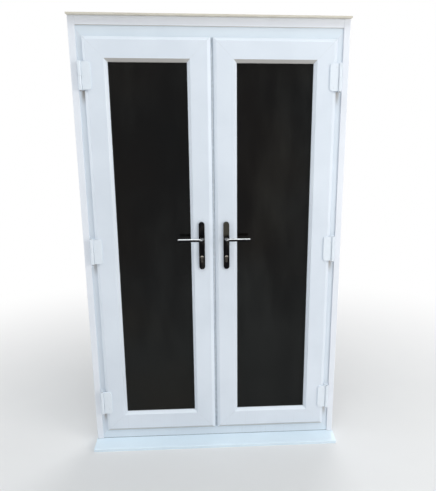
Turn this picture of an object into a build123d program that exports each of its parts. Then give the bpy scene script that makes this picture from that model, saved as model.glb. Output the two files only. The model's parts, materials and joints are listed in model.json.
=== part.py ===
"""A pair of french doors in their frame.

Two glazed plastic leaves hang in a mitred plastic frame on a sloping sill and open outwards.
X runs across the doors, Y from the outside (-) to the room (+), and Z is up, in millimetres.
The origin is on the sill's underside, midway across, in the plane of the frame's outside face.
"""
import os
from math import acos, atan2, ceil, cos, degrees, pi, sin, sqrt, tan

from build123d import *

# Overall sizes of the set
door_width = 1240.0          # over the cover trims
frame_height = 2013.0        # the mitred frame alone, without its extension
trim_oversail = 4.0          # how far a cover trim stands out past the frame's edge
extension_height = 30.0      # box added above the frame's head

# How far a cut or a joined piece runs past the face that it goes through
overcut = 1.0

# Rounded corners are drawn with chords, each of which turns by this many degrees at most
chord_turn = 26.0

# Frame profile, seen in section: u is measured inwards from the outer edge
frame_depth = 70.0
frame_face = 61.0            # outside face, up to the rebate floor
upstand_height = 20.0        # inner lip that the leaf closes against
upstand_depth = 16.0
lip_wall = 5.6               # solid behind the groove for the frame's seal
frame_wall = 2.8
frame_web = 2.2
frame_front_chamber = 9.2
frame_steel_chamber = 27.8
clip_groove_width = 8.0
clip_groove_depth = 4.0
clip_groove_centre = 50.0

# Leaf profile: u is measured inwards from the leaf's outer edge
leaf_proud = 20.0            # leaf face in front of the frame face
leaf_depth = 70.0
sash_face = 105.0            # face width of a stile or rail, up to the glass sight line
flange_width = 18.0          # outer flange that laps over the frame
leaf_overlap = 8.0           # how much of the flange lies on the frame
flange_gap = 3.5             # room for the seal behind the flange
outer_bevel_width = 15.0
outer_bevel_depth = 11.0
sight_bevel_width = 14.0
sight_bevel_depth = 13.0
glazing_leg = 17.0           # thickness of the fixed leg outside the glass
glazing_rebate = 22.0
sash_wall = 2.8
sash_web = 2.2
faceplate_seat_width = 16.0
faceplate_seat_depth = 3.0
rod_channel_width = 12.0
rod_channel_depth = 10.0
groove_centre = 20.0         # the hardware groove's place across the depth
sash_steel_chamber = 24.6
bead_notch_width = 4.0
bead_notch_depth = 3.0
bead_notch_place = 38.0
sash_cavity_drop = 4.4       # the front chamber starts this far behind the face at its outer end
meeting_gap = 11.0           # between the two leaves' faces

# Glass
pane_thickness = 4.0
cavity_width = 20.0
glazing_gasket = 3.0
glass_edge_gap = 5.0
spacer_height = 8.0
spacer_wall = 1.0
spacer_setback = 4.0
gasket_grip = 13.0
gasket_lip = 1.0
outer_gasket_reach = 2.0     # black line that shows past the leg
inner_gasket_reach = 1.0
bead_edge_setback = 1.0
bead_back_setback = 1.0
snap_clearance = 0.2         # round a foot that snaps into a groove
packer_length = 100.0
packer_end = 200.0           # from the leaf's corner to the packer's middle
bead_nose = 4.0
bead_slope = 10.0

# Steel stiffeners
steel_wall = 2.0
steel_clearance = 0.3
steel_end_gap = 112.0

# Seals
seal_stem_width = 2.4
seal_stem_depth = 1.7
seal_bulb_width = 5.4
seal_tip_width = 3.2
seal_touch_gap = 0.3         # a compressed bulb is drawn just clear of what it meets
seal_inset = 4.0

# Sill and the pieces round the frame
sill_projection = 80.0
sill_bed_height = 23.0
sill_lip = 4.0
sill_nose_height = 15.0
sill_nose_radius = 5.0
sill_back_leg = 3.0
sill_back_height = 17.0
sill_wall = 2.6
sill_roof = 3.6              # thickness over the sill's chambers
sill_cap = 3.0
sealant_height = 2.5
sealant_depth = 1.2
sill_web_place = 32.0        # from the frame's face out to the web under the slope
drip_groove_width = 6.0
drip_groove_depth = 1.4
drip_groove_setback = 9.0
trim_width = 30.0
head_trim_height = 38.0
trim_thickness = 6.0
trim_bevel = 2.5
drip_projection = 30.0
drip_thickness = 3.0
drip_lip_height = 8.0
drip_lip_drop = 2.0
drip_back = 10.0

# Hinges
hinge_count = 3
hinge_end = 218.0            # from the frame's end to the middle of the nearest hinge
hinge_length = 122.0
hinge_outset = 14.0          # pin axis outside the leaf's edge
hinge_axis_proud = 25.0
knuckle_width = 14.0
knuckle_bevel = 3.0
hinge_pin_radius = 4.0
pin_running_clearance = 0.06
pin_shank_side = 5.6
knuckle_gap = 0.4
flag_width = 38.0
flag_thickness = 6.0
flag_corner = 12.0
flag_end_gap = 2.0
flag_side_gap = 1.3
flag_arm_rebate = 2.0        # the arm to the knuckle is this much thinner than the flag
flag_arm_drop = 4.0          # and stops this far below the knuckle's top
bracket_thickness = 3.0
bracket_width = 22.0
bracket_web = 8.0
pin_tail = 4.0

# Lock gear
backset = 35.0
spindle_height = 1088.0
cylinder_drop = 92.0
faceplate_thickness = 2.6
faceplate_end_gap = 60.0
faceplate_clearance = 0.3    # each side, in its seat
lock_case_depth = 51.0       # behind the faceplate
lock_case_thickness = 15.0
lock_case_above = 60.0
lock_case_below = 45.0
lock_case_clearance = 0.5
lock_case_back_gap = 1.5     # between the case and the end of its pocket
spindle_side = 8.0
spindle_window = 6.2         # half the width of the case's opening, in which the square bar turns
bolt_width = 8.0
bolt_thickness = 10.0
bolt_head_length = 64.0
rod_thickness = 4.0
bolt_clearance = 1.0
bolt_throw = 20.0
bolt_setback = 1.0           # from the leaf's edge to the drawn-back tip
bolt_point = 1.5
keep_thickness = 2.5
keep_length = 30.0
keep_width = 24.0
keep_setback = 1.0
keep_pocket_spare = 4.0      # room past the tip of the thrown bolt
deadbolt_thickness = 9.0
deadbolt_height = 20.0
deadbolt_length = 56.0
deadbolt_setback = 4.6
deadbolt_clearance = 0.6
deadbolt_point = 1.0
deadbolt_way_end = 11.0      # from the case's back to the end of the deadbolt's way

# Handles
plate_width = 28.0
plate_above = 80.0           # from the spindle to the plate's top
plate_below = 151.0
plate_thickness = 9.0
neck_radius = 8.0
neck_clearance = 0.4
neck_hole_sides = 12
lever_stand_off = 45.0       # plate face to the lever's centre line
lever_length = 112.0
lever_height = 14.0
lever_thickness = 11.0
lever_bend = 14.0
lever_edge = 2.5
neck_seat = 7.0
spindle_reach = 5.0          # how far the square bar goes past each plate
socket_clearance = 0.05
socket_spare = 1.0

# Euro cylinder
cylinder_radius = 8.5
cylinder_tail_width = 10.0
cylinder_tail = 24.5
cylinder_tail_bevel = 3.0
cylinder_proud = 2.0
cylinder_clearance = 0.3
routing_clearance = 1.5
plug_radius = 6.5
plug_clearance = 0.06
plug_proud = 0.6
keyway_width = 2.0
keyway_height = 8.0
keyway_depth = 22.0
cam_width = 8.0
cam_slot_width = 10.0
cam_radius = 14.5
cam_nose_width = 7.0
cam_sweep_clearance = 1.0

# Meeting edges
closer_depth = 46.0
closer_wall = 2.5
closer_clearance = 0.3       # half of the slit between the two meeting profiles
closer_end_gap = 6.0
closer_seat_gap = 0.1
closer_setback = 0.2         # the hard profile stands this far behind the swing line
strip_setback = 0.05         # and the soft strip this far
strip_tuck = 1.0
meeting_gasket_thickness = 3.0

# Fixing holes
fixing_radius = 3.75
fixing_end = 200.0
fixing_count = 3

# Places worked out from the sizes above
frame_half = door_width / 2 - trim_oversail
frame_bottom = sill_bed_height
frame_top = frame_bottom + frame_height
rebate_floor = frame_half - frame_face
leaf_outer = rebate_floor + leaf_overlap
leaf_inner = meeting_gap / 2
leaf_bottom = frame_bottom + frame_face - leaf_overlap
leaf_top = frame_top - frame_face + leaf_overlap
leaf_front = -leaf_proud
leaf_back = leaf_front + leaf_depth
upstand_front = frame_depth - upstand_depth
frame_back_width = frame_face + upstand_height
leg_back = leaf_front + glazing_leg
glass_front = leg_back + glazing_gasket
glass_back = glass_front + 2 * pane_thickness + cavity_width
bead_front = glass_back + glazing_gasket
rebate_u = sash_face - glazing_rebate
pane_u = rebate_u + glass_edge_gap
body_edge = leaf_inner + flange_width
spindle_x = body_edge + backset
cylinder_height = spindle_height - cylinder_drop
hinge_x = leaf_outer + hinge_outset
hinge_y = -hinge_axis_proud
extension_top = frame_top + extension_height
sill_back = frame_depth + sill_back_leg
frame_box = (-frame_half, frame_half, frame_bottom, frame_top)
left_box = (-leaf_outer, -leaf_inner, leaf_bottom, leaf_top)
right_box = (leaf_inner, leaf_outer, leaf_bottom, leaf_top)
all_sides = ("left", "right", "bottom", "top")
groove_front = groove_centre - faceplate_seat_width / 2
groove_back = groove_centre + faceplate_seat_width / 2
case_top = spindle_height + lock_case_above
case_bottom = cylinder_height - lock_case_below
bolt_inner = body_edge + faceplate_seat_depth + bolt_clearance
bolt_outer = bolt_inner + bolt_width
body_top = leaf_top - flange_width
body_bottom = leaf_bottom + flange_width
deadbolt_z = (spindle_height + cylinder_height) / 2
keep_pocket_depth = bolt_throw - bolt_setback - (flange_width - leaf_overlap) + keep_pocket_spare
lock_case_back = body_edge + faceplate_seat_depth + lock_case_depth


def outline(points):
    """A closed flat shape from (u, y) points; a third number rounds that corner with a few chords."""
    flat = [place for i in range(len(points))
            for place in rounded(points[i - 1], points[i], points[(i + 1) % len(points)])]
    turn = sum(p[0] * q[1] - q[0] * p[1] for p, q in zip(flat, flat[1:] + flat[:1]))
    return Polygon(*(flat if turn > 0 else flat[::-1]), align=None)


def rounded(before, corner, after):
    """The corner itself, or the ends of the chords that round it to its radius."""
    u, y = corner[:2]
    if len(corner) < 3:
        return [(u, y)]
    arriving = atan2(y - before[1], u - before[0])
    leaving = atan2(after[1] - y, after[0] - u)
    turn = (leaving - arriving + pi) % (2 * pi) - pi
    setback = corner[2] * tan(abs(turn) / 2)
    side = arriving + (pi / 2 if turn > 0 else -pi / 2)
    centre_u = u - setback * cos(arriving) + corner[2] * cos(side)
    centre_y = y - setback * sin(arriving) + corner[2] * sin(side)
    steps = ceil(degrees(abs(turn)) / chord_turn - 0.01)
    angles = [side + pi + turn * i / steps for i in range(steps + 1)]
    return [(centre_u + corner[2] * cos(a), centre_y + corner[2] * sin(a)) for a in angles]


def patch(u0, u1, y0, y1):
    """A flat rectangle between two corners."""
    return Pos((u0 + u1) / 2, (y0 + y1) / 2) * Rectangle(u1 - u0, y1 - y0)


def block(x0, x1, y0, y1, z0, z1):
    """A box between two corners, given in any order."""
    return Pos((x0 + x1) / 2, (y0 + y1) / 2, (z0 + z1) / 2) * Box(abs(x1 - x0), abs(y1 - y0), abs(z1 - z0))


def rod(radius, x, z, y0, y1):
    """A round bar along Y."""
    return Pos(x, (y0 + y1) / 2, z) * Rot(90, 0, 0) * Cylinder(radius, y1 - y0)


def post(radius, x, y, z0, z1):
    """A round bar along Z."""
    return Pos(x, y, (z0 + z1) / 2) * Cylinder(radius, z1 - z0)


def run(section, side, box, trim_back=0.0):
    """A straight length of a section along one side of a box, square at both ends."""
    x0, x1, z0, z1 = box
    start, across, along, length = {
        "left": ((x0, 0, z0), (1, 0, 0), (0, 0, 1), z1 - z0),
        "right": ((x1, 0, z1), (-1, 0, 0), (0, 0, -1), z1 - z0),
        "bottom": ((x1, 0, z0), (0, 0, 1), (-1, 0, 0), x1 - x0),
        "top": ((x0, 0, z1), (0, 0, -1), (1, 0, 0), x1 - x0),
    }[side]
    origin = Vector(*start) + Vector(*along) * trim_back
    return extrude(Plane(origin, x_dir=across, z_dir=along) * section, amount=length - 2 * trim_back)


def mitre(side, box, reach):
    """The wedge of space that a mitred member on this side may fill."""
    x0, x1, z0, z1 = box
    outer = {"left": ((x0, z1), (x0, z0)), "right": ((x1, z0), (x1, z1)),
             "bottom": ((x0, z0), (x1, z0)), "top": ((x1, z1), (x0, z1))}[side]
    inner = [(x + (reach if x == x0 else -reach), z + (reach if z == z0 else -reach)) for x, z in outer]
    shape = Polygon(*outer, *reversed(inner), align=None)
    return extrude(Plane.XZ * shape, amount=frame_depth * 2, both=True)


def member(section, side, box):
    """One mitred length of a section on a side of a box."""
    reach = section.bounding_box().max.X + overcut
    return run(section, side, box) & mitre(side, box, reach)


def ring(section, box):
    """The section carried round all four sides as one piece."""
    parts = [member(section, side, box) for side in all_sides]
    return parts[0].fuse(*parts[1:])


def frame_section():
    """The frame's extrusion: four chambers, a seal groove and a clip groove in the outer edge."""
    clip0 = clip_groove_centre - clip_groove_width / 2
    clip1 = clip_groove_centre + clip_groove_width / 2
    shape = outline([(0, 0), (frame_face, 0), (frame_face, upstand_front),
                     (frame_back_width, upstand_front), (frame_back_width, frame_depth),
                     (0, frame_depth), (0, clip1), (clip_groove_depth, clip1), (clip_groove_depth, clip0),
                     (0, clip0)])
    steel0 = frame_wall + frame_front_chamber + frame_web
    steel1 = steel0 + frame_steel_chamber
    inner = frame_face - frame_wall
    shape -= patch(frame_wall, inner, frame_wall, frame_wall + frame_front_chamber)
    shape -= patch(frame_wall, inner, steel0, steel1)
    shape -= patch(clip_groove_depth + frame_wall, inner, steel1 + frame_web, upstand_front)
    lip0, lip1 = upstand_front + lip_wall, frame_depth - frame_wall
    shape -= patch(frame_wall, inner, lip0, lip1)
    shape -= patch(frame_face, frame_back_width - frame_wall, lip0, lip1)
    return shape - seal_stem(frame_seal_u(), upstand_front, 1)


def frame_steel_patch():
    """The frame's steel tube in section."""
    steel0 = frame_wall + frame_front_chamber + frame_web + steel_clearance
    steel1 = steel0 + frame_steel_chamber - 2 * steel_clearance
    u0, u1 = frame_wall + steel_clearance, frame_face - frame_wall - steel_clearance
    return patch(u0, u1, steel0, steel1) - patch(u0 + steel_wall, u1 - steel_wall,
                                                 steel0 + steel_wall, steel1 - steel_wall)


def frame_seal_u():
    """Where the frame's seal lies: midway along the lap between upstand and leaf."""
    return (frame_face + flange_width - leaf_overlap + frame_back_width) / 2


def seal_stem(centre, face, inward):
    """The stem of a seal, from a face into its groove; inward is +1 or -1 along Y."""
    y0, y1 = sorted((face, face + inward * seal_stem_depth))
    return patch(centre - seal_stem_width / 2, centre + seal_stem_width / 2, y0, y1)


def seal_section(centre, face, tip, inward):
    """A push-in seal: the stem in its groove and a rounded bulb that reaches the tip."""
    root, end = seal_bulb_width / 2, seal_tip_width / 2
    bulb = outline([(centre - root, face), (centre + root, face), (centre + end, tip), (centre - end, tip)])
    return bulb + seal_stem(centre, face, inward)


def sash_section():
    """The leaf's extrusion: bevelled face, hardware groove, glazing rebate and bead notch."""
    u = flange_width
    channel0, channel1 = groove_centre - rod_channel_width / 2, groove_centre + rod_channel_width / 2
    seat_u = u + faceplate_seat_depth
    channel_u = seat_u + rod_channel_depth
    notch1 = bead_notch_place + bead_notch_width
    shape = outline([
        (0, -flange_gap), (0, leaf_front + outer_bevel_depth), (outer_bevel_width, leaf_front),
        (sash_face - sight_bevel_width, leaf_front), (sash_face, leaf_front + sight_bevel_depth),
        (sash_face, leg_back), (rebate_u, leg_back), (rebate_u, bead_notch_place),
        (rebate_u - bead_notch_depth, bead_notch_place), (rebate_u - bead_notch_depth, notch1),
        (rebate_u, notch1), (rebate_u, leaf_back), (u, leaf_back),
        (u, groove_back), (seat_u, groove_back), (seat_u, channel1), (channel_u, channel1),
        (channel_u, channel0), (seat_u, channel0), (seat_u, groove_front), (u, groove_front),
        (u, -flange_gap)])
    face1 = -flange_gap - sash_wall
    shape -= outline([
        (flange_width / 2, leaf_front + sash_cavity_drop + sash_wall),
        (outer_bevel_width + sash_wall, leaf_front + sash_wall),
        (sash_face - sight_bevel_width - sash_wall, leaf_front + sash_wall),
        (sash_face - 2 * sash_wall, face1 - sash_wall), (sash_face - 2 * sash_wall, face1),
        (flange_width / 2, face1)])
    inner = rebate_u - sash_wall
    past_notch = inner - bead_notch_depth
    steel0 = groove_front - sash_wall + sash_web
    steel1 = steel0 + sash_steel_chamber
    shape -= patch(u + sash_wall, inner, -flange_gap, groove_front - sash_wall)
    shape -= patch(channel_u + sash_wall, past_notch, steel0, steel1)
    shape -= patch(u + sash_wall, channel_u, groove_back + sash_wall, steel1)
    shape -= patch(u + sash_wall, past_notch, steel1 + sash_web, leaf_back - sash_wall)
    return shape - seal_stem(seal_inset, -flange_gap, -1)


def sash_steel_patch():
    """The leaf's steel tube in section."""
    y0 = groove_front - sash_wall + sash_web + steel_clearance
    y1 = y0 + sash_steel_chamber - 2 * steel_clearance
    u0 = flange_width + faceplate_seat_depth + rod_channel_depth + sash_wall + steel_clearance
    u1 = rebate_u - sash_wall - bead_notch_depth - steel_clearance
    return patch(u0, u1, y0, y1) - patch(u0 + steel_wall, u1 - steel_wall, y0 + steel_wall, y1 - steel_wall)


def bead_section():
    """The snap-in bead that holds the glass from the room side."""
    u0 = rebate_u
    foot0 = bead_notch_place + snap_clearance
    foot1 = bead_notch_place + bead_notch_width - snap_clearance
    foot_u = rebate_u - bead_notch_depth + snap_clearance
    nose_u = sash_face - bead_edge_setback
    back = leaf_back - bead_back_setback
    return outline([(u0, bead_front), (nose_u, bead_front), (nose_u, bead_front + bead_nose),
                    (nose_u - bead_slope, back), (u0, back), (u0, foot1), (foot_u, foot1),
                    (foot_u, foot0), (u0, foot0)])


def euro_shape(grow=0.0):
    """The keyhole outline of the cylinder, seen along Y, with the plug's centre at zero."""
    radius = cylinder_radius + grow
    half = cylinder_tail_width / 2 + grow
    foot = -cylinder_tail - grow
    cut = cylinder_tail_bevel
    start = -acos(half / radius)
    steps = ceil(degrees(pi - 2 * start) / chord_turn)
    head = [start + (pi - 2 * start) * i / steps for i in range(steps + 1)]
    return outline([(radius * cos(a), radius * sin(a)) for a in head]
                   + [(-half, foot + cut), (-half + cut, foot), (half - cut, foot), (half, foot + cut)])


def along_y(shape, x, z, y0, y1):
    """A flat shape drawn in X and Z, carried along Y."""
    plane = Plane((x, y1, z), x_dir=(1, 0, 0), z_dir=(0, -1, 0))
    return extrude(plane * shape, amount=y1 - y0)


def both(shape):
    """A piece and its mirror image across the doors' middle."""
    return [shape, shape.mirror(Plane.YZ)]


def lock_cuts(side):
    """What is routed out of a lock stile: the case pocket and the holes for spindle and cylinder."""
    gap = lock_case_clearance
    half = lock_case_thickness / 2 + gap
    pocket = block(side * (body_edge + faceplate_seat_depth), side * (lock_case_back + lock_case_back_gap),
                   groove_centre - half, groove_centre + half, case_bottom - gap, case_top + gap)
    hole = cylinder_radius + routing_clearance
    tail = cylinder_height - cylinder_tail - routing_clearance
    heights = [(spindle_height - hole, spindle_height + hole), (tail, cylinder_height + hole)]
    return [pocket] + [block(side * (spindle_x - hole), side * (spindle_x + hole),
                             leaf_front - overcut, leaf_back + overcut, z0, z1) for z0, z1 in heights]


def bolt_pockets():
    """The holes that the four shoot bolts enter in the frame's head and foot."""
    y0, y1 = groove_centre - rod_channel_width / 2, groove_centre + rod_channel_width / 2
    x0, x1 = bolt_inner - bolt_clearance, bolt_outer + bolt_clearance
    floor_top, floor_bottom = frame_top - frame_face, frame_bottom + frame_face
    top = block(x0, x1, y0, y1, floor_top - overcut, floor_top + keep_pocket_depth)
    bottom = block(x0, x1, y0, y1, floor_bottom + overcut, floor_bottom - keep_pocket_depth)
    return both(top) + both(bottom)


def fixing_places():
    """The heights of the wall fixings through each jamb."""
    step = (frame_height - 2 * fixing_end) / (fixing_count - 1)
    return [frame_bottom + fixing_end + step * i for i in range(fixing_count)]


def fixing_holes():
    """The holes through both jambs for the wall fixings."""
    near, far = rebate_floor - overcut, frame_half + overcut
    holes = [Pos((near + far) / 2, clip_groove_centre, z) * Rot(0, 90, 0)
             * Cylinder(fixing_radius, far - near) for z in fixing_places()]
    return [piece for hole in holes for piece in both(hole)]


def hinge_centres():
    """The heights of the hinges' middles, evenly spaced."""
    step = (frame_height - 2 * hinge_end) / (hinge_count - 1)
    return [frame_bottom + hinge_end + step * i for i in range(hinge_count)]


def build_frame():
    """The mitred frame, its steels, the box above the head and what is fixed round it."""
    section = frame_section()
    cuts = bolt_pockets() + fixing_holes()
    names = {"left": "frame_jamb_left", "right": "frame_jamb_right",
             "bottom": "frame_foot", "top": "frame_head"}
    pieces = {names[side]: member(section, side, frame_box).cut(*cuts) for side in all_sides}
    steels = [run(frame_steel_patch(), side, frame_box, steel_end_gap).cut(*bolt_pockets())
              for side in all_sides]
    pieces["frame_steels"] = Compound(steels)
    tip = leaf_back + seal_touch_gap
    pieces["frame_seal"] = ring(seal_section(frame_seal_u(), upstand_front, tip, 1), frame_box)
    pieces["head_extension"] = head_extension()
    pieces["head_drip"] = head_drip()
    pieces["cover_trims"] = cover_trims()
    return pieces


def head_extension():
    """The box clipped above the frame's head, with a tongue in the head's groove."""
    wall = frame_wall
    clip0 = clip_groove_centre - clip_groove_width / 2 + snap_clearance
    clip1 = clip_groove_centre + clip_groove_width / 2 - snap_clearance
    middle = frame_depth / 2
    shape = patch(0, extension_height, 0, frame_depth)
    shape -= patch(wall, extension_height - wall, wall, middle - wall / 2)
    shape -= patch(wall, extension_height - wall, middle + wall / 2, frame_depth - wall)
    tongue = extension_height + clip_groove_depth - snap_clearance
    shape += patch(extension_height, tongue, clip0, clip1)
    return run(shape, "top", (-frame_half, frame_half, frame_top, extension_top))


def head_drip():
    """The flat strip over the head with a lip that throws rain clear of the doors."""
    lip0 = extension_top - drip_lip_drop
    shape = outline([(drip_back - frame_depth, extension_top),
                     (drip_projection - drip_thickness, extension_top),
                     (drip_projection - drip_thickness, lip0), (drip_projection, lip0),
                     (drip_projection, lip0 + drip_lip_height),
                     (drip_projection - drip_thickness, lip0 + drip_lip_height),
                     (drip_projection - 2 * drip_thickness, extension_top + drip_thickness),
                     (drip_back - frame_depth, extension_top + drip_thickness)])
    plane = Plane((-door_width / 2, 0, 0), x_dir=(0, -1, 0), z_dir=(-1, 0, 0))
    return extrude(plane * shape, amount=-door_width)


def cover_trims():
    """The flat trims on the frame's outer edge: one down each side and one between them at the head."""
    edge = trim_bevel
    front = -trim_thickness
    side = outline([(0, 0), (0, front + edge), (edge, front), (trim_width - edge / 2, front),
                    (trim_width, front + edge / 2), (trim_width, 0)])
    head = outline([(0, 0), (0, front), (head_trim_height - edge / 2, front),
                    (head_trim_height, front + edge / 2), (head_trim_height, 0)])
    half = door_width / 2
    foot = sill_bed_height + sill_lip
    tall = (-half, half, foot, extension_top)
    between = (-half + trim_width, half - trim_width, foot, extension_top)
    return Compound([run(side, "left", tall), run(side, "right", tall), run(head, "top", between)])


def sill_outline():
    """The sill in section, drawn as (Y, Z): bed, lip, sloping top, nose, drip groove and back leg."""
    crest = sill_bed_height + sill_lip
    nose = -sill_projection
    groove = nose + drip_groove_setback
    return outline([
        (sill_back, 0), (sill_back, sill_bed_height + sill_back_height),
        (frame_depth, sill_bed_height + sill_back_height), (frame_depth, sill_bed_height),
        (0, sill_bed_height), (0, crest), (nose, sill_nose_height, sill_nose_radius), (nose, 0), (groove, 0),
        (groove, drip_groove_depth), (groove + drip_groove_width, drip_groove_depth),
        (groove + drip_groove_width, 0)])


def sill_chambers():
    """The hollow spaces inside the sill, as flat shapes in (Y, Z)."""
    wall = sill_wall
    crest = sill_bed_height + sill_lip
    slope = (crest - sill_nose_height) / sill_projection
    nose = -sill_projection
    webs = [nose + wall, nose + 2 * drip_groove_setback, -sill_web_place, 0, frame_depth / 2, frame_depth]
    chambers = []
    for i, (y0, y1) in enumerate(zip(webs, webs[1:])):
        y1 -= wall
        floor = wall + (drip_groove_depth if i == 0 else 0)
        tops = [min(crest + slope * min(y, 0) - sill_roof, sill_bed_height - wall) for y in (y0, y1)]
        chambers.append(outline([(y0, floor), (y1, floor), (y1, tops[1]), (y0, tops[0])]))
    return chambers


def build_sill():
    """The sill's extrusion and the two caps that close its ends."""
    shape = sill_outline()
    hollow = shape
    for chamber in sill_chambers():
        hollow -= chamber
    half = door_width / 2
    plane = Plane((-half, 0, 0), x_dir=(0, 1, 0), z_dir=(1, 0, 0))
    cap = extrude(Plane((half, 0, 0), x_dir=(0, 1, 0), z_dir=(1, 0, 0)) * shape, amount=sill_cap)
    crest = sill_bed_height + sill_lip
    reach = half - trim_width
    bead = block(-reach, reach, -sealant_depth, 0, crest, crest + sealant_height)
    return {"sill": extrude(plane * hollow, amount=door_width), "sill_end_caps": Compound(both(cap)),
            "sill_sealant": bead}


def bolt_keeps():
    """The four plates round the holes that the shoot bolts enter."""
    y0, y1 = groove_centre - keep_width / 2, groove_centre + keep_width / 2
    x0 = body_edge + closer_seat_gap + keep_setback
    floor_top, floor_bottom = frame_top - frame_face, frame_bottom + frame_face
    top = block(x0, x0 + keep_length, y0, y1, floor_top - keep_thickness, floor_top)
    bottom = block(x0, x0 + keep_length, y0, y1, floor_bottom + keep_thickness, floor_bottom)
    hole = block(bolt_inner - bolt_clearance, bolt_outer + bolt_clearance,
                 groove_centre - rod_channel_width / 2, groove_centre + rod_channel_width / 2,
                 floor_bottom - overcut, floor_top + overcut)
    return Compound(both(top - hole) + both(bottom - hole))


def knuckle(z0, z1):
    """A length of a hinge's barrel: a bevelled square bar."""
    square = Rectangle(knuckle_width, knuckle_width)
    return extrude(Pos(hinge_x, hinge_y, z0) * chamfer(square.vertices(), knuckle_bevel), amount=z1 - z0)


def pin_shank(z0, z1):
    """The square lower length of a hinge pin, which can't turn in its bracket."""
    half = pin_shank_side / 2
    return block(hinge_x - half, hinge_x + half, hinge_y - half, hinge_y + half, z0, z1)


def hinge_bracket(z):
    """The part of one hinge that is fixed to the jamb: a plate, and the lower knuckle on a web."""
    half = hinge_length / 2
    x0 = leaf_outer + bracket_thickness
    plate = block(x0, x0 + bracket_width, -bracket_thickness, 0, z - half, z + half)
    web = block(hinge_x - bracket_web / 2, hinge_x + bracket_web / 2, hinge_y + knuckle_width / 2,
                -bracket_thickness, z - half, z - knuckle_gap)
    return plate + web + knuckle(z - half, z - knuckle_gap) - pin_shank(z - half, z - knuckle_gap)


def hinge_flag(z):
    """The part of one hinge that is fixed to the leaf: a flag with rounded corners and a knuckle."""
    half = hinge_length / 2
    flag_edge = hinge_x - knuckle_width / 2 - flag_side_gap
    reach = half - flag_end_gap
    flat = outline([(flag_edge, -reach), (flag_edge, reach), (flag_edge - flag_width, reach, flag_corner),
                    (flag_edge - flag_width, -reach, flag_corner)])
    plate = along_y(flat, 0, z, leaf_front - flag_thickness, leaf_front)
    arm = block(flag_edge - overcut, hinge_x - knuckle_width / 2,
                leaf_front - flag_thickness + flag_arm_rebate, leaf_front,
                z + knuckle_gap, z + half - flag_arm_drop)
    bore = post(hinge_pin_radius + pin_running_clearance, hinge_x, hinge_y, z, z + half)
    return plate + arm + knuckle(z + knuckle_gap, z + half) - bore


def build_hinges():
    """All six hinges: brackets and pins on the frame, and a set of flags for each leaf."""
    brackets, pins, flags = [], [], []
    half = hinge_length / 2
    for z in hinge_centres():
        brackets += both(hinge_bracket(z))
        pin = post(hinge_pin_radius, hinge_x, hinge_y, z - knuckle_gap, z + half)
        pins += both(pin + pin_shank(z - half - pin_tail, z - knuckle_gap))
        flags.append(hinge_flag(z))
    return {"hinge_frame_brackets": Compound(brackets), "hinge_pins": Compound(pins)}, flags


def glass_unit(box):
    """The sealed unit of one leaf: two panes and the spacer between them."""
    x0, x1, z0, z1 = box
    edges = (x0 + pane_u, x1 - pane_u)
    heights = (z0 + pane_u, z1 - pane_u)
    back_pane = glass_back - pane_thickness
    panes = [block(*edges, y, y + pane_thickness, *heights) for y in (glass_front, back_pane)]
    u0 = pane_u + spacer_setback
    cavity = patch(u0, u0 + spacer_height, glass_front + pane_thickness, back_pane)
    cavity -= patch(u0 + spacer_wall, u0 + spacer_height - spacer_wall,
                    glass_front + pane_thickness + spacer_wall, back_pane - spacer_wall)
    return Compound(panes), ring(cavity, box)


def glass_packers(box):
    """The blocks that the sealed unit stands on and is wedged by, two to a side."""
    x0, x1, z0, z1 = box
    blocks = []
    for x in (x0 + packer_end, x1 - packer_end):
        for z in (z0 + rebate_u, z1 - pane_u):
            blocks.append(block(x - packer_length / 2, x + packer_length / 2, glass_front, glass_back,
                                z, z + glass_edge_gap))
    for z in (z0 + packer_end, z1 - packer_end):
        for x in (x0 + rebate_u, x1 - pane_u):
            blocks.append(block(x, x + glass_edge_gap, glass_front, glass_back,
                                z - packer_length / 2, z + packer_length / 2))
    return Compound(blocks)


def glazing_gaskets(box):
    """The two black gaskets that grip the glass, one each side of it."""
    u0 = sash_face - gasket_grip
    outer_u, inner_u = sash_face + outer_gasket_reach, sash_face + inner_gasket_reach
    outer = outline([(u0, leg_back), (outer_u - gasket_lip, leg_back), (outer_u, glass_front - gasket_lip),
                     (outer_u, glass_front), (u0, glass_front)])
    inner = outline([(u0, glass_back), (inner_u, glass_back), (inner_u, glass_back + gasket_lip),
                     (inner_u - gasket_lip, bead_front), (u0, bead_front)])
    return Compound([ring(outer, box), ring(inner, box)])


def meeting_face(y):
    """How far the meeting profile stays back from the middle at depth y, to swing past its twin."""
    reach = hinge_x - closer_clearance
    front = hinge_axis_proud - meeting_gasket_thickness
    swing = sqrt(reach * reach + front * front - (y + hinge_axis_proud) ** 2)
    return hinge_x - swing


def meeting_profile(side):
    """The hollow profile on a leaf's meeting edge, its face sloped so that either leaf opens first."""
    wall = closer_wall
    outer = body_edge - closer_seat_gap
    slope0, slope1 = meeting_face(0) + closer_setback, meeting_face(closer_depth) + closer_setback
    shape = outline([(slope0, 0), (outer, 0), (outer, closer_depth), (slope1, closer_depth)])
    shape -= outline([(slope0 + wall, wall), (outer - wall, wall), (outer - wall, closer_depth - wall),
                      (slope1 + wall, closer_depth - wall)])
    z0 = frame_bottom + frame_face + closer_end_gap
    z1 = frame_top - frame_face - closer_end_gap
    plane = Plane((0, 0, z0), x_dir=(1, 0, 0), z_dir=(0, 0, 1))
    solid = extrude(plane * shape, amount=z1 - z0).cut(deadbolt_way())
    edge0, edge1 = meeting_face(0) + strip_setback, leaf_inner + strip_tuck
    gasket = extrude(plane * patch(edge0, edge1, -meeting_gasket_thickness, 0), amount=z1 - z0)
    gasket += block(edge0, edge1, -meeting_gasket_thickness, -seal_touch_gap, leaf_bottom, leaf_top)
    return (solid, gasket) if side > 0 else (solid.mirror(Plane.YZ), gasket.mirror(Plane.YZ))


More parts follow.
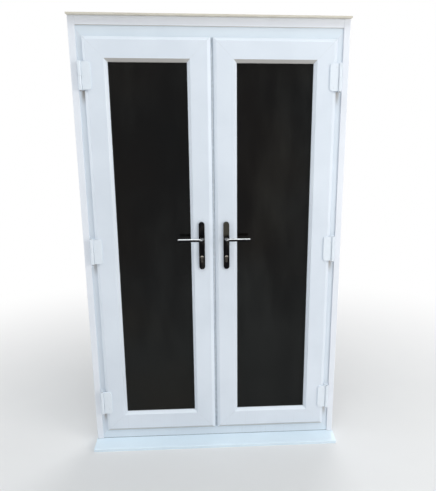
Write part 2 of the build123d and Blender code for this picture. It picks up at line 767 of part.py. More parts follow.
def deadbolt_way():
    """The slot that the deadbolt slides through, on the first leaf and into its twin's edge."""
    gap = deadbolt_clearance
    half, rise = deadbolt_thickness / 2 + gap, deadbolt_height / 2 + gap
    return block(-body_edge, lock_case_back - deadbolt_way_end, groove_centre - half, groove_centre + half,
                 deadbolt_z - rise, deadbolt_z + rise)


def faceplate(side):
    """The long plate in the hardware groove, with a slot for the deadbolt."""
    seat = body_edge + faceplate_seat_depth
    plate = block(side * (seat - faceplate_thickness), side * seat,
                  groove_front + faceplate_clearance, groove_back - faceplate_clearance,
                  body_bottom + faceplate_end_gap, body_top - faceplate_end_gap)
    return plate - deadbolt_way()


def lock_case(side):
    """The gearbox behind the faceplate, bored for the spindle, the cylinder and its turning cam."""
    x0 = body_edge + faceplate_seat_depth
    y0, y1 = groove_centre - lock_case_thickness / 2, groove_centre + lock_case_thickness / 2
    case = block(side * x0, side * lock_case_back, y0, y1, case_bottom, case_top)
    y0, y1 = y0 - overcut, y1 + overcut
    case -= block(side * spindle_x - spindle_window, side * spindle_x + spindle_window, y0, y1,
                  spindle_height - spindle_window, spindle_height + spindle_window)
    case -= along_y(euro_shape(cylinder_clearance), side * spindle_x, cylinder_height, y0, y1)
    sweep = cam_radius + cam_sweep_clearance
    case -= block(side * spindle_x - sweep, side * spindle_x + sweep, groove_centre - cam_slot_width / 2,
                  groove_centre + cam_slot_width / 2, cylinder_height - sweep, cylinder_height + sweep)
    return case - deadbolt_way() if side > 0 else case


def cylinder(side):
    """The cylinder's body, waisted at the middle where the cam turns, and bored for the plug."""
    y0, y1 = leaf_front - plate_thickness - cylinder_proud, leaf_back + plate_thickness + cylinder_proud
    body = along_y(euro_shape(), side * spindle_x, cylinder_height, y0, y1)
    slot = cam_slot_width / 2
    waist = cam_radius + cam_sweep_clearance
    body -= block(side * spindle_x - 2 * cylinder_radius, side * spindle_x + 2 * cylinder_radius,
                  groove_centre - slot, groove_centre + slot, cylinder_height - waist,
                  cylinder_height + 2 * cylinder_radius)
    return body - rod(plug_radius + plug_clearance, side * spindle_x, cylinder_height,
                      y0 - overcut, y1 + overcut)


def cylinder_plug(side):
    """The turning plug with a keyway at each end and the cam at its middle."""
    y0 = leaf_front - plate_thickness - cylinder_proud - plug_proud
    y1 = leaf_back + plate_thickness + cylinder_proud + plug_proud
    x, z = side * spindle_x, cylinder_height
    slot = block(x - keyway_width / 2, x + keyway_width / 2, 0, keyway_depth, z - keyway_height / 2,
                 z + keyway_height / 2)
    cam = block(x, x + cam_radius, groove_centre - cam_width / 2, groove_centre + cam_width / 2,
                z - cam_nose_width / 2, z + cam_nose_width / 2)
    return rod(plug_radius, x, z, y0, y1) - Pos(0, y0, 0) * slot - Pos(0, y1 - keyway_depth, 0) * slot + cam


def shoot_bolt(side, upper):
    """One shoot bolt with its long flat rod, withdrawn level with the leaf's edge."""
    x0, x1 = side * bolt_inner, side * bolt_outer
    y0, y1 = groove_centre - bolt_thickness / 2, groove_centre + bolt_thickness / 2
    tip = body_top - bolt_setback if upper else body_bottom + bolt_setback
    shoulder = tip - bolt_head_length if upper else tip + bolt_head_length
    start = case_top + lock_case_clearance if upper else case_bottom - lock_case_clearance
    head = block(x0, x1, y0, y1, shoulder, tip)
    head = chamfer(head.faces().sort_by(Axis.Z)[-1 if upper else 0].edges(), bolt_point)
    return head + block(x0, side * (bolt_inner + rod_thickness), y0, y1, start, shoulder)


def deadbolt():
    """The deadbolt of the leaf that opens first, drawn back inside its meeting profile."""
    tip = meeting_face(groove_centre) + deadbolt_setback
    bolt = block(tip, tip + deadbolt_length, groove_centre - deadbolt_thickness / 2,
                 groove_centre + deadbolt_thickness / 2, deadbolt_z - deadbolt_height / 2,
                 deadbolt_z + deadbolt_height / 2)
    return chamfer(bolt.faces().sort_by(Axis.X)[0].edges(), deadbolt_point)


def backplate(side, face, outward):
    """A long oval handle plate on one face of the leaf; outward is the way it stands out along Y."""
    height = plate_above + plate_below
    centre = spindle_height + plate_above - height / 2
    end = plate_width / 2
    corners = ((end, height / 2), (-end, height / 2), (-end, -height / 2), (end, -height / 2))
    flat = outline([(x, z, end) for x, z in corners])
    hole = RegularPolygon(neck_radius + neck_clearance, neck_hole_sides, major_radius=False)
    y0, y1 = sorted((face, face + outward * plate_thickness))
    plate = along_y(flat, side * spindle_x, centre, y0, y1)
    y0, y1 = y0 - overcut, y1 + overcut
    plate -= along_y(hole, side * spindle_x, spindle_height, y0, y1)
    return plate - along_y(euro_shape(cylinder_clearance), side * spindle_x, cylinder_height, y0, y1)


def lever(side, face, outward):
    """A handle: a round neck through the plate that turns into a straight flat-sided bar."""
    x, z = side * spindle_x, spindle_height
    root = face + outward * (plate_thickness - neck_seat)
    line = face + outward * (plate_thickness + lever_stand_off)
    half = lever_thickness / 2
    tip = x + side * lever_length
    near, far = line - outward * half, line + outward * half
    nip = tip - side * lever_edge
    bar = outline([(x - side * half, root), (x - side * half, far, lever_bend), (nip, far),
                   (tip, far - outward * lever_edge), (tip, near + outward * lever_edge), (nip, near),
                   (x + side * (half + lever_edge), near), (x + side * half, near - outward * lever_edge),
                   (x + side * half, root)])
    bar = extrude(Pos(0, 0, z - lever_height / 2) * bar, amount=lever_height)
    rims = bar.faces().sort_by(Axis.Z)
    bar = chamfer(rims[0].edges() + rims[-1].edges(), lever_edge)
    y0, y1 = sorted((root, line - outward * lever_bend))
    bar += rod(neck_radius, x, z, y0, y1)
    side_half = spindle_side / 2 + socket_clearance
    s0, s1 = sorted((root - outward, root + outward * (neck_seat + spindle_reach + socket_spare)))
    return bar - block(x - side_half, x + side_half, s0, s1, z - side_half, z + side_half)


def spindle(side):
    """The square bar that turns both handles together."""
    half = spindle_side / 2
    reach = plate_thickness + spindle_reach
    return block(side * spindle_x - half, side * spindle_x + half, leaf_front - reach, leaf_back + reach,
                 spindle_height - half, spindle_height + half)


def build_leaf(name, side, box, flags):
    """One leaf with its glass, hinges' flags, lock gear and handles."""
    section = sash_section()
    hinge_side, lock_side = ("left", "right") if side < 0 else ("right", "left")
    cuts = lock_cuts(side)
    names = {hinge_side: "hinge_stile", lock_side: "lock_stile", "bottom": "bottom_rail", "top": "top_rail"}
    leaf = {names[s]: member(section, s, box) for s in all_sides}
    leaf["lock_stile"] = leaf["lock_stile"].cut(*cuts)
    steel = sash_steel_patch()
    leaf["steels"] = Compound([run(steel, s, box, steel_end_gap).cut(*cuts) for s in all_sides])
    leaf["glass_packers"] = glass_packers(box)
    leaf["glass_panes"], leaf["glass_spacer"] = glass_unit(box)
    leaf["glazing_beads"] = Compound([member(bead_section(), s, box) for s in all_sides])
    leaf["glazing_gaskets"] = glazing_gaskets(box)
    leaf["meeting_profile"], gasket = meeting_profile(side)
    edge_seal = ring(seal_section(seal_inset, -flange_gap, -seal_touch_gap, -1), box)
    leaf["seals"] = Compound([edge_seal, gasket])
    leaf["hinge_flags"] = Compound([f if side > 0 else f.mirror(Plane.YZ) for f in flags])
    leaf["lock_faceplate"] = faceplate(side)
    leaf["lock_case"] = lock_case(side)
    leaf["cylinder"] = cylinder(side)
    leaf["cylinder_plug"] = cylinder_plug(side)
    leaf["backplates"] = Compound([backplate(side, leaf_front, -1), backplate(side, leaf_back, 1)])
    leaf["levers"] = Compound([lever(side, leaf_front, -1), lever(side, leaf_back, 1)])
    leaf["spindle"] = spindle(side)
    leaf["top_bolt"] = shoot_bolt(side, True)
    leaf["bottom_bolt"] = shoot_bolt(side, False)
    return {f"{name}_{piece}": shape for piece, shape in leaf.items()}


def build():
    """Every piece of the doors, by name."""
    frame_hinges, flags = build_hinges()
    pieces = {**build_frame(), **build_sill(), "bolt_keeps": bolt_keeps(), **frame_hinges}
    pieces.update(build_leaf("left", -1, left_box, flags))
    pieces.update(build_leaf("right", 1, right_box, flags))
    pieces["right_deadbolt"] = deadbolt()
    return pieces


os.makedirs("parts", exist_ok=True)
for piece_name, piece in build().items():
    export_step(piece, f"parts/{piece_name}.step")
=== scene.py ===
import json
import math

import bpy
from mathutils import Matrix, Vector

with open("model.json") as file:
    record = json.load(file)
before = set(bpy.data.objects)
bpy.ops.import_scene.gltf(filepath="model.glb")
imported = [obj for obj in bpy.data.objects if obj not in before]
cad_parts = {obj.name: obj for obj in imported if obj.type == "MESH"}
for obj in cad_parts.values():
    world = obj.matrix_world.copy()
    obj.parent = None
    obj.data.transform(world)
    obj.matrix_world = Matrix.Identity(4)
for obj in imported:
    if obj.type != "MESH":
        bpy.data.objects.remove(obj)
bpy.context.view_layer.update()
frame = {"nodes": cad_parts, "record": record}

nodes = frame["nodes"]

# Sizes of the doors, in metres. Edges are given from the middle outwards, then bottom and top.
leaf_edges = (0.0055, 0.563, 0.076, 1.983)
frame_edges = (0.0, 0.616, 0.023, 2.036)
leaf_face = 0.105
frame_face = 0.081
hinge_heights = (0.241, 1.0295, 1.818)
hinge_half = 0.061
spindle_x = 0.0585
spindle_z = 1.088
cylinder_z = 0.996

# Where dirt gathers, in metres: the half width of a weld's line, the heights over which splashes fade,
# and the length of the dirt and painted shade below a hinge, its distance from the doors' middle and
# its half width
weld_line = (0.0004, 0.0012)
splash_fade = (0.03, 0.42)
hinge_mark_length = 0.075
hinge_mark_x = 0.571
hinge_mark_spread = 0.014

# The photograph's camera: sizes in pixels, place in metres, turns in degrees
photo_size = (436.0, 491.0)
photo_focal = 463.13
photo_centre = (236.74, 253.79)
camera_place = (-0.01816, -2.20224, 1.4926)
camera_turns = (12.45, -3.32, -0.10)
sensor_width = 36.0

# Each lamp's place, the height on the doors that it is aimed at, its size, power and colour
lamps = {
    "top": ((0.0, -2.7, 6.7), 1.0, 3.8, 163.0, (0.93, 0.985, 1.0)),
    "left": ((-4.6, -0.9, 1.9), 1.1, 2.6, 50.0, (0.97, 0.985, 1.0)),
    "right": ((3.6, -2.5, 1.9), 1.1, 2.2, 82.0, (1.0, 0.975, 0.95)),
    "back": ((1.5, 4.5, 4.5), 1.0, 3.0, 110.0, (1.0, 1.0, 1.0)),
}
room_light = 0.38
room_colour = (0.97, 0.985, 1.0)
white = (1.0, 1.0, 1.0)
floor_reach = 30.0
floor_fade = (0.8, 3.4)

# Colours of the plastic, its white tinted blue as painted sky light; of its painted warm shade where
# it faces down; and of the dirt on it
plastic_light = (0.768, 0.828, 0.903)
plastic_dull = (0.708, 0.768, 0.843)
painted_underside_shade = (0.43, 0.385, 0.32)
plastic_dirt = (0.300, 0.285, 0.265)
hinge_stain_and_shade_colour = (0.270, 0.205, 0.130)


# Node helpers

class Nodes:
    """A node tree, with short ways to add nodes to it."""

    def __init__(self, tree):
        self.tree = tree

    def add(self, kind, inputs=None, **settings):
        """A new node with its settings, and its inputs linked or set."""
        node = self.tree.nodes.new(kind)
        for key, value in settings.items():
            setattr(node, key, value)
        for key, value in (inputs or {}).items():
            self.feed(node.inputs[key], value)
        return node

    def feed(self, socket, value):
        """Links a socket to another node's output, or sets it to a constant."""
        if isinstance(value, bpy.types.NodeSocket):
            self.tree.links.new(value, socket)
        elif socket.type == "RGBA":
            socket.default_value = (*value, 1.0)
        else:
            socket.default_value = value

    def math(self, operation, a, b=0.0):
        """One operation on one or two numbers."""
        return self.add("ShaderNodeMath", {0: a, 1: b}, operation=operation).outputs[0]

    def plus(self, a, b):
        """The sum of two numbers."""
        return self.math("ADD", a, b)

    def minus(self, a, b):
        """The first number less the second."""
        return self.math("SUBTRACT", a, b)

    def times(self, a, b):
        """The product of two numbers."""
        return self.math("MULTIPLY", a, b)

    def seen(self):
        """1 for rays from the camera, off a gloss or through glass, and 0 for the light on things."""
        path = self.add("ShaderNodeLightPath").outputs
        bounced = self.math("MAXIMUM", path["Is Glossy Ray"], path["Is Transmission Ray"])
        return self.math("MAXIMUM", path["Is Camera Ray"], bounced)


class Shader(Nodes):
    """A material, with short ways to make its patterns."""

    def __init__(self, name, roughness=0.5, metallic=0.0):
        self.material = bpy.data.materials.new(name)
        self.material.use_nodes = True
        super().__init__(self.material.node_tree)
        self.shader = self.tree.nodes["Principled BSDF"]
        self.set("Roughness", roughness)
        self.set("Metallic", metallic)
        spot = self.add("ShaderNodeTexCoord").outputs
        self.place = spot["Object"]
        self.normal_z = self.add("ShaderNodeSeparateXYZ", {"Vector": spot["Normal"]}).outputs["Z"]
        self.x, self.y, self.z = self.add("ShaderNodeSeparateXYZ", {"Vector": self.place}).outputs[:3]
        self.from_middle = self.math("ABSOLUTE", self.x)

    def set(self, name, value):
        """Sets or links one socket of the shader."""
        self.feed(self.shader.inputs[name], value)

    def ramp(self, value, low, high, to_low=0.0, to_high=1.0):
        """A smooth step from low to high."""
        ends = {"Value": value, "From Min": low, "From Max": high, "To Min": to_low, "To Max": to_high}
        return self.add("ShaderNodeMapRange", ends, interpolation_type="SMOOTHSTEP").outputs["Result"]

    def near(self, value, centre, width):
        """1 at the centre, falling smoothly to 0 at width away from it."""
        away = self.math("ABSOLUTE", self.minus(value, centre))
        return self.ramp(away, 0.0, width, 1.0, 0.0)

    def noise(self, scale, detail=3.0, stretch=None, roughness=0.55, offset=0.0):
        """Soft noise with so many features to a metre, times the stretch along each axis."""
        inputs = {"Vector": self.place, "Scale": scale, "Detail": detail, "Roughness": roughness}
        inputs["W"] = offset
        if stretch:
            stretched = self.add("ShaderNodeMapping", {"Vector": self.place, "Scale": stretch})
            inputs["Vector"] = stretched.outputs["Vector"]
        return self.add("ShaderNodeTexNoise", inputs, noise_dimensions="4D").outputs["Fac"]

    def cells(self, scale):
        """The outputs of a cell pattern with so many cells to a metre."""
        inputs = {"Vector": self.place, "Scale": scale}
        return self.add("ShaderNodeTexVoronoi", inputs, feature="F1").outputs

    def mix(self, factor, a, b):
        """Colour a turning to colour b."""
        return self.add("ShaderNodeMix", {0: factor, 6: a, 7: b}, data_type="RGBA").outputs[2]

    def bump(self, height, strength, distance):
        """Sets the surface's bump."""
        inputs = {"Height": height, "Strength": strength, "Distance": distance}
        self.set("Normal", self.add("ShaderNodeBump", inputs).outputs["Normal"])


# White plastic

def weld_lines(s, edges, face):
    """A thin line along the mitres of a leaf or of the frame, as long as the face is wide."""
    inner, outer, bottom, top = edges
    to_side = s.minus(outer, s.from_middle)
    if inner > 0:
        to_side = s.math("MINIMUM", to_side, s.minus(s.from_middle, inner))
    to_end = s.math("MINIMUM", s.minus(s.z, bottom), s.minus(top, s.z))
    apart = s.math("ABSOLUTE", s.minus(to_side, to_end))
    line = s.ramp(apart, *weld_line, 1.0, 0.0)
    return s.times(line, s.ramp(to_side, face, face + 0.001, 1.0, 0.0))


def hinge_streak_and_shade(s):
    """Marks below each hinge on the outside: dirt drawn down by rain, and painted shade under the
    hinge.
    """
    across = s.near(s.from_middle, hinge_mark_x, hinge_mark_spread)
    outside = s.ramp(s.y, 0.001, 0.006, 1.0, 0.0)
    total = 0.0
    for height in hinge_heights:
        foot = height - hinge_half
        fading = s.ramp(s.z, foot - hinge_mark_length, foot - 0.002)
        below = s.ramp(s.z, foot, foot + 0.004, 1.0, 0.0)
        total = s.plus(total, s.times(fading, below))
    return s.times(s.times(across, outside), total)


def plastic_grime(s, streak, edges, face):
    """Rain streaks and specks that thicken towards the ground, and dirt in the weld lines."""
    low = s.ramp(s.z, *splash_fade, 1.0, 0.0)
    wash = s.times(s.ramp(streak, 0.52, 0.80), s.times(low, 0.08))
    wash = s.plus(wash, s.times(s.ramp(streak, 0.58, 0.80), 0.025))
    speck = s.noise(420.0, 2.0, offset=7.7)
    dots = s.times(s.ramp(speck, 0.66, 0.76), s.plus(0.05, s.times(low, 0.16)))
    grime = s.math("MAXIMUM", wash, dots)
    if edges:
        patchy = s.ramp(s.noise(40.0, 2.0), 0.35, 0.70, 0.03, 0.22)
        grime = s.math("MAXIMUM", grime, s.times(weld_lines(s, edges, face), patchy))
    return grime


def extruded_bump(s, upright):
    """Faint die lines along the extrusion, and a fine orange peel."""
    along = (240.0, 240.0, 0.8) if upright else (0.8, 240.0, 240.0)
    die = s.noise(1.0, 2.0, stretch=along, offset=2.0)
    peel = s.noise(900.0, 1.0)
    s.bump(s.plus(s.times(die, 0.7), s.times(peel, 0.3)), 0.10, 0.0004)


def white_plastic(name, upright, edges=None, face=0.0, tint=white):
    """White extruded plastic, with painted warm shade where it faces down."""
    s = Shader(name, 0.33)
    light = [part * shade for part, shade in zip(plastic_light, tint)]
    dull = [part * shade for part, shade in zip(plastic_dull, tint)]
    broad = s.noise(2.6, 4.0, offset=1.3)
    streak = s.noise(1.0, 5.0, stretch=(150.0, 150.0, 5.0), offset=4.1)
    colour = s.mix(s.ramp(broad, 0.35, 0.70), light, dull)
    # Painted shade: darker and warmer where the plastic faces down.
    colour = s.mix(s.ramp(s.normal_z, -0.85, -0.15, 0.80, 0.0), colour, painted_underside_shade)
    grime = plastic_grime(s, streak, edges, face)
    colour = s.mix(grime, colour, plastic_dirt)
    # Brown marks below the hinges: dirt, and painted shade under each hinge.
    at_hinges = s.times(hinge_streak_and_shade(s), s.ramp(streak, 0.25, 0.60, 0.30, 0.80))
    s.set("Base Color", s.mix(at_hinges, colour, hinge_stain_and_shade_colour))
    s.set("Roughness", s.plus(0.26, s.plus(s.times(broad, 0.14), s.times(grime, 0.35))))
    extruded_bump(s, upright)
    return s.material


# Other materials

def cream_plastic():
    """The yellowed strip over the head, with dirt washed along it."""
    s = Shader("cream_plastic_aged", 0.5)
    colour = s.mix(s.noise(9.0, 4.0, offset=3.0), (0.74, 0.71, 0.62), (0.58, 0.53, 0.44))
    dirt = s.ramp(s.noise(1.0, 5.0, stretch=(25.0, 200.0, 200.0)), 0.52, 0.75, 0.0, 0.55)
    s.set("Base Color", s.mix(dirt, colour, (0.26, 0.23, 0.19)))
    s.set("Roughness", s.ramp(dirt, 0.0, 0.6, 0.42, 0.72))
    s.bump(s.noise(500.0, 3.0), 0.15, 0.0005)
    return s.material


def painted_metal():
    """White stoved paint on the hinges, its white tinted blue as painted sky light, with marks worn by
    rubbing.
    """
    s = Shader("hinge_paint_white", 0.38)
    # The paint's white is tinted blue: painted sky light.
    colour = s.mix(s.noise(25.0, 4.0), (0.825, 0.885, 0.950), (0.770, 0.830, 0.895))
    marks = s.ramp(s.noise(1.0, 4.0, stretch=(260.0, 260.0, 40.0)), 0.60, 0.76, 0.0, 0.4)
    s.set("Base Color", s.mix(marks, colour, (0.40, 0.40, 0.39)))
    s.set("Roughness", s.ramp(marks, 0.0, 0.5, 0.34, 0.60))
    s.bump(s.noise(1100.0, 2.0), 0.22, 0.0004)
    return s.material


def plate_chrome():
    """Dark polished plates with wiped smears, and a painted reflection on the right ones from the
    lever upwards.
    """
    s = Shader("handle_plate_chrome", 0.12, 1.0)
    smear = s.noise(1.0, 4.0, stretch=(90.0, 60.0, 22.0), offset=5.0)
    colour = s.mix(s.ramp(smear, 0.42, 0.80), (0.006, 0.006, 0.007), (0.038, 0.035, 0.030))
    # Paler from the lever upwards on the right plates: a painted reflection.
    above = s.ramp(s.z, spindle_z - 0.005, spindle_z + 0.03, 0.0, 0.8)
    painted_reflection_above_lever = s.times(s.ramp(s.x, 0.0, 0.03), above)
    s.set("Base Color", s.mix(painted_reflection_above_lever, colour, (0.062, 0.060, 0.048)))
    s.set("Roughness", s.ramp(smear, 0.30, 0.80, 0.10, 0.34))
    s.bump(s.noise(1400.0, 2.0), 0.05, 0.0002)
    return s.material


def lever_chrome():
    """Chrome levers painted in bands: painted shade below, a painted highlight along the middle and a
    duller band on top.
    """
    s = Shader("lever_chrome", 0.16, 1.0)
    smear = s.noise(1.0, 4.0, stretch=(40.0, 80.0, 160.0), offset=2.0)
    wavy = s.plus(s.z, s.times(s.minus(smear, 0.5), 0.002))
    # Painted light in bands along the lever: painted shade below, a painted highlight in the middle,
    # lowered near the bend, and a duller band on top.
    bend = s.near(s.from_middle, spindle_x, 0.018)
    height = s.plus(wavy, s.times(bend, 0.0045))
    bright = s.ramp(height, spindle_z + 0.0012, spindle_z + 0.0030)
    top = s.ramp(height, spindle_z + 0.0048, spindle_z + 0.0066)
    colour = s.mix(bright, (0.010, 0.010, 0.012), (0.44, 0.45, 0.46))
    s.set("Base Color", s.mix(top, colour, (0.27, 0.275, 0.28)))
    s.set("Roughness", s.ramp(smear, 0.30, 0.75, 0.16, 0.32))
    s.bump(s.noise(1400.0, 2.0), 0.04, 0.0002)
    return s.material


def satin_nickel():
    """The cylinders: dark brushed nickel, with a painted highlight round the top of the keyhole."""
    s = Shader("satin_nickel", 0.3, 1.0)
    brush = s.noise(1.0, 3.0, stretch=(1800.0, 60.0, 260.0))
    # A painted highlight round the top of the keyhole.
    painted_top_highlight = s.ramp(s.z, cylinder_z + 0.0015, cylinder_z + 0.0045)
    dull = s.mix(s.ramp(brush, 0.4, 0.7), (0.070, 0.064, 0.056), (0.035, 0.032, 0.028))
    s.set("Base Color", s.mix(painted_top_highlight, dull, (0.50, 0.46, 0.41)))
    s.set("Roughness", s.ramp(brush, 0.3, 0.8, 0.24, 0.45))
    s.bump(brush, 0.12, 0.0002)
    return s.material


def zinc_steel():
    """Zinc plated steel with its spangle and rolling lines."""
    s = Shader("zinc_plated_steel", 0.35, 1.0)
    spangle = s.add("ShaderNodeSeparateColor", {"Color": s.cells(160.0)["Color"]}).outputs[0]
    rolled = s.noise(1.0, 3.0, stretch=(500.0, 500.0, 6.0))
    s.set("Base Color", s.mix(spangle, (0.62, 0.63, 0.64), (0.46, 0.47, 0.49)))
    s.set("Roughness", s.ramp(s.plus(spangle, rolled), 0.3, 1.6, 0.26, 0.50))
    s.bump(rolled, 0.10, 0.0003)
    return s.material


def dull_steel():
    """Hinge pins: plain steel with thin rust in its pores."""
    s = Shader("hinge_pin_steel", 0.42, 1.0)
    rust = s.ramp(s.noise(240.0, 5.0), 0.56, 0.72, 0.0, 0.8)
    s.set("Base Color", s.mix(rust, (0.40, 0.40, 0.40), (0.16, 0.09, 0.055)))
    s.set("Metallic", s.ramp(rust, 0.0, 0.8, 1.0, 0.3))
    s.set("Roughness", s.ramp(rust, 0.0, 0.8, 0.36, 0.85))
    s.bump(s.noise(1600.0, 3.0), 0.15, 0.0003)
    return s.material


def rubber(name, pale, dark):
    """Rubber of the seals: matt, with a chalky bloom."""
    s = Shader(name, 0.7)
    bloom = s.noise(60.0, 5.0)
    s.set("Base Color", s.mix(s.ramp(bloom, 0.40, 0.72), dark, pale))
    s.set("Roughness", s.ramp(bloom, 0.3, 0.8, 0.60, 0.85))
    s.bump(s.noise(1500.0, 3.0), 0.18, 0.0004)
    return s.material


def dark_plastic():
    """Moulded packers under the glass."""
    s = Shader("packer_plastic", 0.5)
    s.set("Base Color", s.mix(s.noise(40.0, 3.0), (0.030, 0.030, 0.032), (0.055, 0.055, 0.058)))
    s.set("Roughness", s.ramp(s.noise(200.0, 3.0), 0.3, 0.8, 0.42, 0.62))
    s.bump(s.noise(1200.0, 2.0), 0.20, 0.0004)
    return s.material


def mill_aluminium():
    """The spacer between the panes, with its breathing holes drawn as dots."""
    s = Shader("spacer_aluminium", 0.38, 1.0)
    rolled = s.noise(1.0, 3.0, stretch=(30.0, 900.0, 30.0))
    holes = s.ramp(s.cells(250.0)["Distance"], 0.12, 0.20, 1.0, 0.0)
    s.set("Base Color", s.mix(s.times(holes, 0.5), (0.70, 0.71, 0.72), (0.20, 0.20, 0.20)))
    s.set("Roughness", s.ramp(rolled, 0.3, 0.8, 0.30, 0.50))
    s.bump(rolled, 0.10, 0.0002)
    return s.material


def dark_glass():
    """Sealed panes painted near-black as the shade of the room behind, with a dusty film, wiped smears
    and a painted reflection that pales them towards the bottom.
    """
    s = Shader("dark_glass", 0.03)
    film = s.noise(1.7, 5.0, stretch=(1.0, 1.0, 0.55), roughness=0.60, offset=9.0)
    wiped = s.noise(1.0, 6.0, stretch=(7.0, 7.0, 1.8), roughness=0.62, offset=3.0)
    warm = s.ramp(s.noise(1.3, 2.0, offset=5.0), 0.40, 0.62)
    # The near-black colours stand for the shade of the room behind the glass: painted shade.
    dark = s.mix(warm, (0.0040, 0.0045, 0.0050), (0.0070, 0.0050, 0.0040))
    pale = s.mix(warm, (0.0300, 0.0320, 0.0310), (0.0330, 0.0310, 0.0260))
    # Paler towards the bottom: a painted reflection.
    paler_low_painted_reflection = s.ramp(s.z, 0.20, 1.20, 0.75, 0.0)
    dust_and_low_reflection = s.plus(s.ramp(s.times(film, wiped), 0.16, 0.42), paler_low_painted_reflection)
    s.set("Base Color", s.mix(dust_and_low_reflection, dark, pale))
    s.set("Roughness", s.ramp(wiped, 0.35, 0.75, 0.01, 0.12))
    s.set("Transmission Weight", 0.55)
    s.set("IOR", 1.20)
    return s.material


# What each node is made of

# The tints of the frame's level parts and of the sill make lighter, bluer copies of the same plastic:
# painted light.
leaf_level = white_plastic("leaf_plastic_level", False, leaf_edges, leaf_face)
frame_level = white_plastic("frame_plastic_level", False, frame_edges, frame_face, (1.01, 1.04, 1.04))
frame_upright = white_plastic("frame_plastic_upright", True, frame_edges, frame_face, (0.99, 1.0, 1.0))
sill_plastic = white_plastic("sill_plastic", False, tint=(0.99, 1.06, 1.07))

by_ending = {
    "_rail": leaf_level,
    "beads": leaf_level,
    "frame_head": frame_level,
    "frame_foot": frame_level,
    "head_extension": frame_level,
    "frame_jamb_left": frame_upright,
    "frame_jamb_right": frame_upright,
    # The trims' tint makes a lighter, warmer copy of the plastic: painted light.
    "cover_trims": white_plastic("trim_plastic_upright", True, tint=(1.12, 1.075, 1.05)),
    "sill": sill_plastic,
    "sill_end_caps": sill_plastic,
    "levers": lever_chrome(),
    "sealant": rubber("sill_sealant", (0.42, 0.47, 0.52), (0.30, 0.34, 0.38)),
}
by_slot = {
    "white_plastic": white_plastic("leaf_plastic_upright", True, leaf_edges, leaf_face),
    "cream_plastic": cream_plastic(),
    "dark_plastic": dark_plastic(),
    "zinc_steel": zinc_steel(),
    "pin_steel": dull_steel(),
    "white_metal": painted_metal(),
    "black_rubber": rubber("gasket_rubber", (0.055, 0.055, 0.055), (0.012, 0.012, 0.013)),
    "grey_rubber": rubber("seal_rubber", (0.60, 0.67, 0.74), (0.50, 0.56, 0.62)),
    "glass": dark_glass(),
    "spacer": mill_aluminium(),
    "nickel": satin_nickel(),
    "chrome": plate_chrome(),
}
slot_of = {part["node"]: part["material_slot"] for part in frame["record"]["subparts"]}

for name, obj in nodes.items():
    chosen = next((m for end, m in by_ending.items() if name.endswith(end)), by_slot[slot_of[name]])
    obj.data.materials.clear()
    obj.data.materials.append(chosen)


# Softened edges: the width of the rounding for the nodes with these words in their names

soft_edges = {
    "stile": 0.0012,
    "rail": 0.0012,
    "jamb": 0.0012,
    "frame_head": 0.0012,
    "frame_foot": 0.0012,
    "cover_trims": 0.0008,
    "sill": 0.0010,
    "head_extension": 0.0010,
    "head_drip": 0.0006,
    "hinge_flags": 0.0012,
    "hinge_frame_brackets": 0.0008,
    "backplates": 0.0022,
    "levers": 0.0012,
    "glazing_beads": 0.0010,
    "lock_faceplate": 0.0004,
    "meeting_profile": 0.0006,
    "lock_case": 0.0006,
    "bolt": 0.0005,
}
same_point = 0.00002
flat_angle = math.radians(1.0)
sharp_angle = math.radians(28.0)


def soften(obj, width):
    """Joins the imported faces and rounds the sharp edges by so much."""
    weld = obj.modifiers.new("weld", "WELD")
    weld.merge_threshold = same_point
    flat = obj.modifiers.new("planar", "DECIMATE")
    flat.decimate_type = "DISSOLVE"
    flat.angle_limit = flat_angle
    bevel = obj.modifiers.new("bevel", "BEVEL")
    bevel.width = width
    bevel.segments = 2
    bevel.limit_method = "ANGLE"
    bevel.angle_limit = sharp_angle
    bevel.use_clamp_overlap = True
    bevel.harden_normals = True


for name, obj in nodes.items():
    width = next((w for word, w in soft_edges.items() if word in name), None)
    if width:
        soften(obj, width)


# Floor, world, lamps and camera

def link(obj):
    """Puts an object in the scene."""
    bpy.context.scene.collection.objects.link(obj)


def build_floor():
    """A pale floor that fades to the white background far from the doors."""
    low, high = -floor_reach, floor_reach
    corners = [(low, low, 0), (high, low, 0), (high, high, 0), (low, high, 0)]
    mesh = bpy.data.meshes.new("floor")
    mesh.from_pydata(corners, [], [(0, 1, 2, 3)])
    floor = bpy.data.objects.new("floor", mesh)
    link(floor)
    s = Shader("pale_floor", 0.85)
    s.set("Base Color", s.mix(s.noise(3.0, 5.0), (0.80, 0.80, 0.80), (0.76, 0.76, 0.765)))
    s.set("Specular IOR Level", 0.2)
    away = s.add("ShaderNodeVectorMath", {0: s.place}, operation="LENGTH").outputs["Value"]
    fade = s.times(s.ramp(away, *floor_fade), s.seen())
    glow = s.add("ShaderNodeEmission", {"Color": white, "Strength": 1.0}).outputs[0]
    blend = s.add("ShaderNodeMixShader", {0: fade, 1: s.shader.outputs[0], 2: glow})
    s.feed(s.tree.nodes["Material Output"].inputs["Surface"], blend.outputs[0])
    mesh.materials.append(s.material)


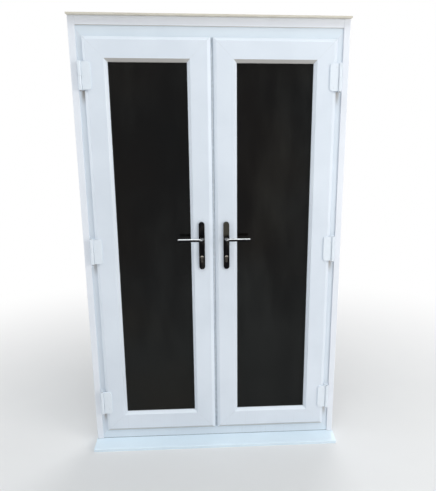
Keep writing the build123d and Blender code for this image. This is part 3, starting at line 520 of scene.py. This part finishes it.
def build_world():
    """White where it is seen or mirrored, and an even soft light elsewhere."""
    world = bpy.data.worlds.new("studio")
    bpy.context.scene.world = world
    world.use_nodes = True
    n = Nodes(world.node_tree)
    plain = n.tree.nodes["Background"]
    n.feed(plain.inputs["Color"], room_colour)
    n.feed(plain.inputs["Strength"], room_light)
    pale = n.add("ShaderNodeBackground", {"Color": white, "Strength": 1.0})
    blend = n.add("ShaderNodeMixShader", {0: n.seen(), 1: plain.outputs[0], 2: pale.outputs[0]})
    n.feed(n.tree.nodes["World Output"].inputs["Surface"], blend.outputs[0])


def build_lamp(name, place, aim, size, power, colour):
    """One soft square lamp aimed at the doors' middle at a height."""
    data = bpy.data.lights.new(name, "AREA")
    data.shape = "SQUARE"
    data.size = size
    data.energy = power
    data.color = colour
    lamp = bpy.data.objects.new(name, data)
    lamp.location = place
    lamp.rotation_mode = "QUATERNION"
    lamp.rotation_quaternion = (Vector((0.0, 0.0, aim)) - Vector(place)).to_track_quat("-Z", "Y")
    link(lamp)


def build_camera():
    """The camera at the photograph's own viewpoint."""
    data = bpy.data.cameras.new("photo_camera")
    long_side = max(photo_size)
    data.sensor_width = sensor_width
    data.lens = photo_focal / long_side * sensor_width
    data.shift_x = (photo_size[0] / 2 - photo_centre[0]) / long_side
    data.shift_y = (photo_centre[1] - photo_size[1] / 2) / long_side
    data.clip_start = 0.05
    data.clip_end = 100.0
    tilt, pan, roll = (math.radians(turn) for turn in camera_turns)
    level = Matrix(((1, 0, 0), (0, 0, -1), (0, 1, 0)))
    turned = Matrix.Rotation(roll, 3, "Z") @ Matrix.Rotation(tilt, 3, "X")
    turned = turned @ Matrix.Rotation(pan, 3, "Y") @ level
    right, down, ahead = turned
    columns = Matrix((right, -down, -ahead)).transposed()
    camera = bpy.data.objects.new("photo_camera", data)
    camera.matrix_world = Matrix.Translation(camera_place) @ columns.to_4x4()
    link(camera)
    bpy.context.scene.camera = camera


build_floor()
build_world()
for name, settings in lamps.items():
    build_lamp(name, *settings)
build_camera()
bpy.context.scene.view_settings.view_transform = "Standard"
